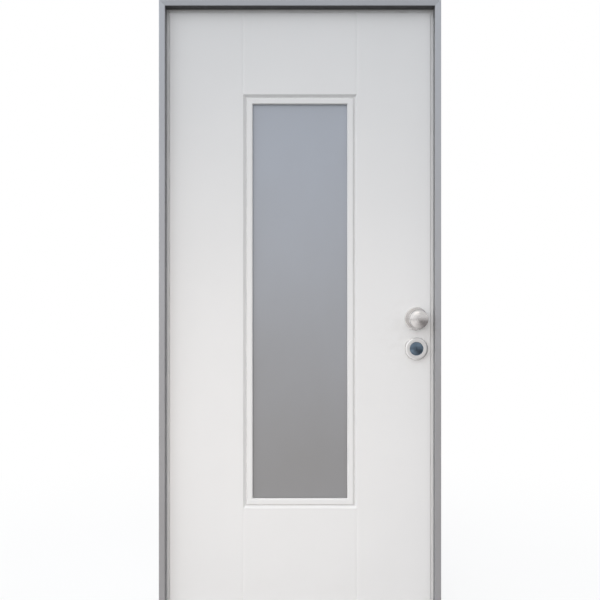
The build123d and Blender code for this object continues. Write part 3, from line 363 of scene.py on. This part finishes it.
def black_rubber(name):
    """Matt rubber with a faint bloom."""
    material, tree, shader = new_finish(name)
    spot = place(tree)
    bloom = noise(tree, spot, scale=38.0, detail=4.0, rough=0.6)
    bloomed = span(tree, bloom, 0.4, 0.75)
    tone = blend(tree, bloomed, colour(0.012, 0.012, 0.013), colour(0.035, 0.035, 0.036))
    dress(tree, shader, tone, noise_span(tree, bloom, 0.55, 0.75))
    relief(tree, shader, noise(tree, spot, scale=700.0, detail=2.0), depth=0.00006, strength=0.5)
    return material


def gloss_disc(name):
    """Polished near-black disc with a blue cast and fine scratches."""
    material, tree, shader = new_finish(name)
    spot = place(tree, centre=CYLINDER_AXIS)
    scratches = place(tree, (900.0, 900.0, 120.0), CYLINDER_AXIS, (0, 0.6, 0))
    scuff = noise(tree, scratches, scale=1.0, detail=3.0, rough=0.6)
    cloud = noise(tree, spot, scale=70.0, detail=3.0)
    tone = blend(tree, cloud, colour(0.095, 0.13, 0.17), colour(0.155, 0.21, 0.27))
    dress(tree, shader, tone, span(tree, scuff, 0.45, 0.8, 0.07, 0.16))
    shader.inputs["Metallic"].default_value = 1.0
    return material


def wool_fibre(name):
    """Mineral wool: matted fibres in layers."""
    material, tree, shader = new_finish(name)
    layers = place(tree, (60.0, 400.0, 60.0))
    fibres = noise(tree, layers, scale=1.0, detail=5.0, rough=0.7, warp=1.5)
    dress(tree, shader, blend(tree, fibres, colour(0.2, 0.15, 0.06), colour(0.45, 0.37, 0.18)), 0.95)
    relief(tree, shader, fibres, depth=0.001, strength=0.9)
    return material


def streaked_grey_finish(name):
    """Light grey finish with a faint streaked relief, for the strip in the gap round the outer bead."""
    material, tree, shader = new_finish(name)
    drag = noise(tree, place(tree), scale=120.0, detail=3.0, rough=0.55)
    tone = blend(tree, drag, colour(0.65, 0.65, 0.655), colour(0.72, 0.72, 0.725))
    dress(tree, shader, tone, noise_span(tree, drag, 0.42, 0.6))
    relief(tree, shader, drag, depth=0.0002, strength=0.5)
    return material


leaf_paint = powder_paint(
    "white_leaf_paint",
    light=colour(0.81, 0.812, 0.82),
    dark=colour(0.785, 0.788, 0.796),
    soiled=colour(0.5, 0.47, 0.42),
)
# Frame paint: painted light makes it paler toward the top, and painted shade darkens its reveal
frame_paint = powder_paint(
    "blue_grey_frame_paint",
    light=colour(0.52, 0.54, 0.585),
    dark=colour(0.31, 0.305, 0.315),
    soiled=colour(0.2, 0.18, 0.165),
    painted_light=0.85,
    reveal_shade=colour(0.21, 0.213, 0.224),
)
# Painted shade: the head takes a darker copy of the frame paint, and a near-black painted shade in its soffit
shaded_head_paint = powder_paint(
    "shaded_blue_grey_head_paint",
    light=colour(0.43, 0.445, 0.48),
    dark=colour(0.31, 0.305, 0.315),
    soiled=colour(0.2, 0.18, 0.165),
    painted_light=0.85,
    reveal_shade=colour(0.05, 0.05, 0.053),
    head_shade_share=1.0,
)
# Glass tones: darker at the foot and paler at the top, painted light
outer_glass = frosted_glass("frosted_outer_glass", colour(0.345, 0.345, 0.356), colour(0.52, 0.56, 0.635))
inner_glass = frosted_glass("frosted_inner_glass", colour(0.5, 0.52, 0.54), colour(0.56, 0.58, 0.6))
knob_steel = spun_metal(
    "spun_knob_steel", colour(0.68, 0.665, 0.66), colour(0.54, 0.525, 0.52),
    centre=KNOB_AXIS, rough=0.19, turns=1500.0, streak=0.5,
)
rose_nickel = spun_metal(
    "spun_rose_nickel", colour(0.8, 0.785, 0.775), colour(0.66, 0.65, 0.64),
    centre=KNOB_AXIS, rough=0.2, turns=1200.0, streak=0.5, near_leaf_dark=0.2,
)
guard_nickel = spun_metal(
    "spun_guard_nickel", colour(0.92, 0.915, 0.91), colour(0.8, 0.795, 0.79),
    centre=CYLINDER_AXIS, rough=0.36, turns=1200.0, streak=0.3, near_leaf_dark=0.75,
)
dark_disc = gloss_disc("dark_cylinder_disc")
lever_steel = brushed_metal(
    "brushed_lever_steel", colour(0.62, 0.605, 0.6), colour(0.5, 0.487, 0.48),
    rough=0.28, stretch=(70.0, 2600.0, 2600.0),
)
threshold_metal = brushed_metal(
    "drawn_threshold_aluminium", colour(0.74, 0.74, 0.75), colour(0.55, 0.55, 0.56),
    rough=0.38, stretch=(6.0, 1400.0, 1400.0),
)
zinc = zinc_plate("zinc_plated_steel", colour(0.62, 0.63, 0.63), colour(0.4, 0.41, 0.42))
hinge_steel = brushed_metal(
    "turned_hinge_steel", colour(0.6, 0.6, 0.59), colour(0.48, 0.48, 0.475),
    rough=0.34, stretch=(160.0, 160.0, 2600.0),
)
bolt_steel = brushed_metal(
    "ground_bolt_steel", colour(0.66, 0.66, 0.65), colour(0.45, 0.45, 0.45),
    rough=0.26, stretch=(60.0, 2000.0, 2000.0),
)
rubber = black_rubber("black_seal_rubber")
wool = wool_fibre("mineral_wool")
# Grey strip that darkens the gap round the outer bead
gap_strip_grey = streaked_grey_finish("grey_bead_gap_finish")
spacer_metal = brushed_metal(
    "anodised_spacer", colour(0.6, 0.6, 0.61), colour(0.42, 0.42, 0.43),
    rough=0.4, stretch=(200.0, 200.0, 200.0),
)

finishes = {
    leaf_paint: [
        "outer_skin", "inner_skin",
        "outer_bead_top", "outer_bead_bottom", "outer_bead_left", "outer_bead_right",
        "inner_bead_top", "inner_bead_bottom", "inner_bead_left", "inner_bead_right",
    ],
    frame_paint: ["hinge_jamb", "lock_jamb"],
    shaded_head_paint: ["head_jamb"],
    outer_glass: ["outer_pane"],
    inner_glass: ["inner_pane"],
    knob_steel: ["outer_knob"],
    rose_nickel: ["knob_rose"],
    guard_nickel: ["cylinder_guard"],
    dark_disc: ["cylinder_plug"],
    lever_steel: ["lever_handle", "lever_rose", "thumbturn", "thumbturn_rose"],
    threshold_metal: ["threshold"],
    zinc: [
        "hinge_stile", "lock_stile", "top_rail", "bottom_rail",
        "window_stile_hinge_side", "window_stile_lock_side", "window_head_rail", "window_sill_rail",
        "lock_case", "lock_cover", "knob_nut", "lock_strike", "top_strike", "lever_spindle",
    ],
    hinge_steel: ["frame_hinge_knuckles", "leaf_hinge_knuckles", "hinge_pins", "hinge_washers"],
    bolt_steel: [
        "dog_bolts", "bolt_carriage", "top_rod", "bottom_rod", "latch_bolt", "lock_forend",
        "cylinder_body", "bead_screws", "forend_screws", "leaf_hinge_screws",
    ],
    rubber: [
        "hinge_jamb_seal", "lock_jamb_seal", "head_seal", "bottom_seal", "outer_gasket", "inner_gasket",
    ],
    wool: ["mineral_wool_core"],
    spacer_metal: ["glass_spacer"],
}
for finish, names in finishes.items():
    for name in names:
        slots = nodes[name].data.materials
        slots.clear()
        slots.append(finish)
dressed = {name for names in finishes.values() for name in names}
bare = set(nodes) - dressed
if bare:
    raise ValueError("no finish for " + ", ".join(sorted(bare)))


# Screws with cross recesses

def lowered(tree, shape, height):
    """Shape moved along its own axis."""
    move = {"Geometry": shape.outputs["Mesh"], "Translation": combine(tree, Z=height)}
    return put(tree, "GeometryNodeTransform", move).outputs[0]


def screw_tree():
    """Countersunk screws on points, each turned by its own angle, heads along the points' facing."""
    tree = bpy.data.node_groups.new("countersunk_screws", "GeometryNodeTree")
    face = tree.interface
    face.new_socket("Geometry", in_out="INPUT", socket_type="NodeSocketGeometry")
    sockets = {"Seed": face.new_socket("Seed", in_out="INPUT", socket_type="NodeSocketInt")}
    for name in SCREW_SIZES:
        sockets[name] = face.new_socket(name, in_out="INPUT", socket_type="NodeSocketFloat")
    sockets["Finish"] = face.new_socket("Finish", in_out="INPUT", socket_type="NodeSocketMaterial")
    face.new_socket("Geometry", in_out="OUTPUT", socket_type="NodeSocketGeometry")
    start = tree.nodes.new("NodeGroupInput").outputs
    end = tree.nodes.new("NodeGroupOutput").inputs

    # Head and shank, with the top of the head at zero
    head_radius, shank_radius = start["Head Radius"], start["Shank Radius"]
    head_depth = reckon(tree, "SUBTRACT", head_radius, shank_radius)
    head_foot = reckon(tree, "MULTIPLY", head_depth, -1.0)
    head = put(tree, "GeometryNodeMeshCone", {
        "Vertices": HEAD_SIDES, "Radius Top": head_radius, "Radius Bottom": shank_radius, "Depth": head_depth,
    })
    head = lowered(tree, head, head_foot)
    shank_length = reckon(tree, "SUBTRACT", start["Length"], head_depth)
    shank = put(tree, "GeometryNodeMeshCylinder", {
        "Vertices": SHANK_SIDES, "Radius": shank_radius, "Depth": shank_length,
    })
    shank_middle = reckon(tree, "ADD", reckon(tree, "MULTIPLY", shank_length, -0.5), head_foot)
    shank = lowered(tree, shank, shank_middle)

    # Cross recess, two crossed bars sunk to half their height
    bar_length = reckon(tree, "MULTIPLY", head_radius, RECESS_PER_RADIUS)
    bar_height = reckon(tree, "MULTIPLY", start["Recess Depth"], 2.0)
    cross = put(tree, "GeometryNodeMeshBoolean", operation="UNION")
    for along, aside in (("X", "Y"), ("Y", "X")):
        size = combine(tree, **{along: bar_length, aside: start["Recess Width"], "Z": bar_height})
        bar = put(tree, "GeometryNodeMeshCube", {"Size": size}).outputs["Mesh"]
        tree.links.new(bar, cross.inputs["Mesh"])
    cut = {"Mesh 1": head, "Mesh 2": cross.outputs["Mesh"]}
    head = put(tree, "GeometryNodeMeshBoolean", cut, operation="DIFFERENCE").outputs["Mesh"]
    screw = put(tree, "GeometryNodeJoinGeometry", {"Geometry": head})
    tree.links.new(shank, screw.inputs["Geometry"])

    # A screw on each point
    points = put(tree, "GeometryNodeMeshToPoints", {"Mesh": start["Geometry"]}).outputs["Points"]
    facing = put(tree, "GeometryNodeInputNamedAttribute", {"Name": "facing"}, data_type="FLOAT_VECTOR")
    upright = put(tree, "FunctionNodeAlignRotationToVector", {"Vector": facing.outputs[0]}, axis="Z")
    angle = put(tree, "FunctionNodeRandomValue", {"Seed": start["Seed"]}, data_type="FLOAT")
    angle.inputs[RANDOM_MOST].default_value = math.pi
    turn = {"Rotation": upright.outputs[0], "Rotate By": combine(tree, Z=angle.outputs[RANDOM_NUMBER])}
    turned = put(tree, "FunctionNodeRotateRotation", turn, rotation_space="LOCAL")
    copies = put(tree, "GeometryNodeInstanceOnPoints", {
        "Points": points, "Instance": screw.outputs["Geometry"], "Rotation": turned.outputs[0],
    })
    solid = put(tree, "GeometryNodeRealizeInstances", {"Geometry": copies.outputs["Instances"]}).outputs[0]
    coated = put(tree, "GeometryNodeSetMaterial", {"Geometry": solid, "Material": start["Finish"]})
    tree.links.new(coated.outputs[0], end["Geometry"])
    return tree, sockets


def loose_boxes(name):
    """Middle and half size of each separate solid in a node."""
    shape = bmesh.new()
    shape.from_mesh(nodes[name].data)
    bmesh.ops.remove_doubles(shape, verts=shape.verts, dist=WELD)
    found = set()
    boxes = []
    for start in shape.verts:
        if start in found:
            continue
        found.add(start)
        island = [start]
        for corner in island:
            for edge in corner.link_edges:
                other = edge.other_vert(corner)
                if other not in found:
                    found.add(other)
                    island.append(other)
        low = Vector([min(corner.co[side] for corner in island) for side in range(3)])
        high = Vector([max(corner.co[side] for corner in island) for side in range(3)])
        boxes.append(((low + high) / 2, (high - low) / 2))
    shape.free()
    return boxes


def screw_places():
    """Head centres of the leaf's screws, with the way their heads face."""
    inward = Vector((0.0, 1.0, 0.0))
    lockward = Vector((1.0, 0.0, 0.0))
    rows = []
    for name, facing in (("bead_screws", inward), ("leaf_hinge_screws", inward), ("forend_screws", lockward)):
        rows += [(middle + facing * half.dot(facing), facing) for middle, half in loose_boxes(name)]
    return rows


def make_screws():
    """The leaf's screws as one plain mesh."""
    rows = screw_places()
    mesh = bpy.data.meshes.new("screw_points")
    mesh.from_pydata([spot for spot, way in rows], [], [])
    facing = mesh.attributes.new("facing", "FLOAT_VECTOR", "POINT")
    facing.data.foreach_set("vector", [part for spot, way in rows for part in way])
    points = bpy.data.objects.new("screw_points", mesh)
    scene.collection.objects.link(points)
    tree, sockets = screw_tree()
    modifier = points.modifiers.new("screws", "NODES")
    modifier.node_group = tree
    for name, size in SCREW_SIZES.items():
        modifier[sockets[name].identifier] = size
    modifier[sockets["Seed"].identifier] = SCREW_SEED
    modifier[sockets["Finish"].identifier] = bolt_steel
    graph = bpy.context.evaluated_depsgraph_get()
    solid = bpy.data.meshes.new_from_object(points.evaluated_get(graph))
    points.modifiers.remove(modifier)
    bpy.data.objects.remove(points)
    solid.name = "leaf_screws"
    screws = bpy.data.objects.new("leaf_screws", solid)
    scene.collection.objects.link(screws)
    return screws


leaf_screws = make_screws()
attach(leaf_screws, "leaf")
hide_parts("bead_screws", "leaf_hinge_screws", "forend_screws")


# Grey strip in the gap round the outer glazing bead, darker than the white paint

def bead_gap_line():
    """Grey strip in the gap between the outer bead and the recess, mitred at its corners."""
    left_low, left_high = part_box("outer_bead_left")
    right_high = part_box("outer_bead_right")[1]
    floor_y = left_high[1]
    corners = [
        (left_low[0], left_low[2], -1, -1),
        (right_high[0], left_low[2], 1, -1),
        (right_high[0], left_high[2], 1, 1),
        (left_low[0], left_high[2], -1, 1),
    ]
    shape = bmesh.new()
    rings = []
    for x, z, side, rise in corners:
        rings.append([
            shape.verts.new((x + side * away, floor_y - height, z + rise * away))
            for away, height in GAP_STRIP_SECTION
        ])
    count = len(GAP_STRIP_SECTION)
    for near, far in zip(rings, rings[1:] + rings[:1]):
        for first in range(count):
            second = (first + 1) % count
            shape.faces.new((near[first], near[second], far[second], far[first]))
    bmesh.ops.recalc_face_normals(shape, faces=shape.faces)
    mesh = bpy.data.meshes.new("bead_gap_strip")
    shape.to_mesh(mesh)
    shape.free()
    mesh.materials.append(gap_strip_grey)
    line = bpy.data.objects.new("bead_gap_strip", mesh)
    scene.collection.objects.link(line)
    return line


bead_gap_strip = bead_gap_line()
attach(bead_gap_strip, "leaf")


# Floor, light and camera

def pale_floor():
    """Wide plain floor under the door, with a brightness of its own for what is seen and what is mirrored."""
    mesh = bpy.data.meshes.new("floor")
    reach = FLOOR_REACH
    corners = [(-reach, -reach, 0), (reach, -reach, 0), (reach, reach, 0), (-reach, reach, 0)]
    mesh.from_pydata(corners, [], [(0, 1, 2, 3)])
    floor = bpy.data.objects.new("floor", mesh)
    scene.collection.objects.link(floor)
    material, tree, shader = new_finish("pale_floor")
    path = put(tree, "ShaderNodeLightPath").outputs
    side = axes(tree, place(tree))[0]
    away = length(tree, place(tree))

    # What lights the door from below
    cloud = noise(tree, place(tree), scale=1.5, detail=3.0)
    pale = blend(tree, cloud, colour(0.8, 0.8, 0.8), colour(0.84, 0.84, 0.84))
    dress(tree, shader, blend(tree, path["Is Diffuse Ray"], pale, colour(0.16, 0.157, 0.154)), 0.9)

    # What the camera sees: white, with the door's shade near its foot
    seen = reckon(tree, "MAXIMUM", path["Is Camera Ray"], path["Is Transmission Ray"])
    white = reckon(tree, "MULTIPLY", seen, span(tree, away, 0.5, 2.6, 0.68, 1.0, soft=True))
    mixed = mix_shaders(tree, white, shader.outputs[0], shine(tree, "ShaderNodeEmission", colour(1, 1, 1)))

    # Painted reflection: a glow of the floor's own that only metal and glass mirror, bright on the hinge
    # side, dark on the lock side, even far away
    sheen = blend(tree, span(tree, side, -0.3, 1.25), colour(1.15, 1.13, 1.12), colour(0.32, 0.305, 0.305))
    sheen = blend(tree, span(tree, away, 4.0, 12.0), sheen, colour(0.66, 0.65, 0.65))
    mirrored = shine(tree, "ShaderNodeEmission", sheen)
    mixed = mix_shaders(tree, path["Is Glossy Ray"], mixed, mirrored)
    join(tree, mixed, tree.nodes["Material Output"].inputs["Surface"])
    mesh.materials.append(material)


def studio_world():
    """Plain white for what is seen, other tones for what is mirrored, and a soft sky that lights the door."""
    world = bpy.data.worlds.new("studio")
    scene.world = world
    world.use_nodes = True
    tree = world.node_tree
    tree.nodes.clear()
    output = tree.nodes.new("ShaderNodeOutputWorld")
    path = put(tree, "ShaderNodeLightPath").outputs
    way = axes(tree, put(tree, "ShaderNodeTexCoord").outputs["Generated"])
    across, up = way[0], way[2]

    # Sky: brighter at the horizon and on the hinge side
    sky = blend(tree, span(tree, up, 0.0, 0.9), colour(0.86, 0.885, 0.915), colour(0.5, 0.515, 0.53))
    light = shine(tree, "ShaderNodeBackground", sky, span(tree, across, 0.0, 0.55, 2.1, 0.75))

    # What metal and glass mirror: darker at the floor, brightest on the hinge side
    sheen = blend(tree, span(tree, up, -0.02, 0.18), colour(0.56, 0.545, 0.545), colour(0.92, 0.92, 0.92))
    sheen = blend(tree, span(tree, across, 0.0, -0.5), sheen, colour(1.25, 1.25, 1.25))
    shown = blend(tree, path["Is Glossy Ray"], colour(1, 1, 1), sheen)
    shown = shine(tree, "ShaderNodeBackground", shown)
    seen = reckon(tree, "MAXIMUM", path["Is Camera Ray"], path["Is Glossy Ray"])
    seen = reckon(tree, "MAXIMUM", seen, path["Is Transmission Ray"])
    tree.links.new(mix_shaders(tree, seen, light, shown), output.inputs["Surface"])


def softbox(name, spot, aim, size, power, tint, spread, mirrored=True):
    """Square lamp that faces a point, and may be kept out of mirror images."""
    lamp = bpy.data.lights.new(name, "AREA")
    lamp.shape = "SQUARE"
    lamp.size = size
    lamp.energy = power
    lamp.color = tint
    lamp.spread = math.radians(spread)
    body = bpy.data.objects.new(name, lamp)
    body.location = spot
    body.rotation_euler = (Vector(aim) - Vector(spot)).to_track_quat("-Z", "Y").to_euler()
    body.visible_glossy = mirrored
    scene.collection.objects.link(body)


def photo_camera():
    """Camera level with the middle of the door, square on to it."""
    data = bpy.data.cameras.new("camera")
    data.sensor_fit = "HORIZONTAL"
    data.angle = 2 * math.atan(HALF_WIDTH_PER_DISTANCE)
    camera = bpy.data.objects.new("camera", data)
    camera.location = CAMERA_SPOT
    camera.rotation_euler = (math.pi / 2, 0.0, 0.0)
    scene.collection.objects.link(camera)
    scene.camera = camera


pale_floor()
studio_world()
softbox(
    "key_lamp", spot=(-0.2, -2.5, 3.1), aim=(0.0, 0.0, 0.0),
    size=2.2, power=1.8, tint=(1.0, 0.95, 0.9), spread=80.0,
)
softbox(
    "fill_lamp", spot=(-0.5, -2.7, 0.8), aim=(-0.15, 0.0, 0.3),
    size=1.8, power=4.9, tint=(1.0, 0.89, 0.78), spread=66.0, mirrored=False,
)
softbox(
    "back_lamp", spot=(0.7, 2.9, 2.2), aim=(0.0, 0.0, 0.8),
    size=2.2, power=8.0, tint=(1.0, 0.98, 0.96), spread=120.0,
)
photo_camera()
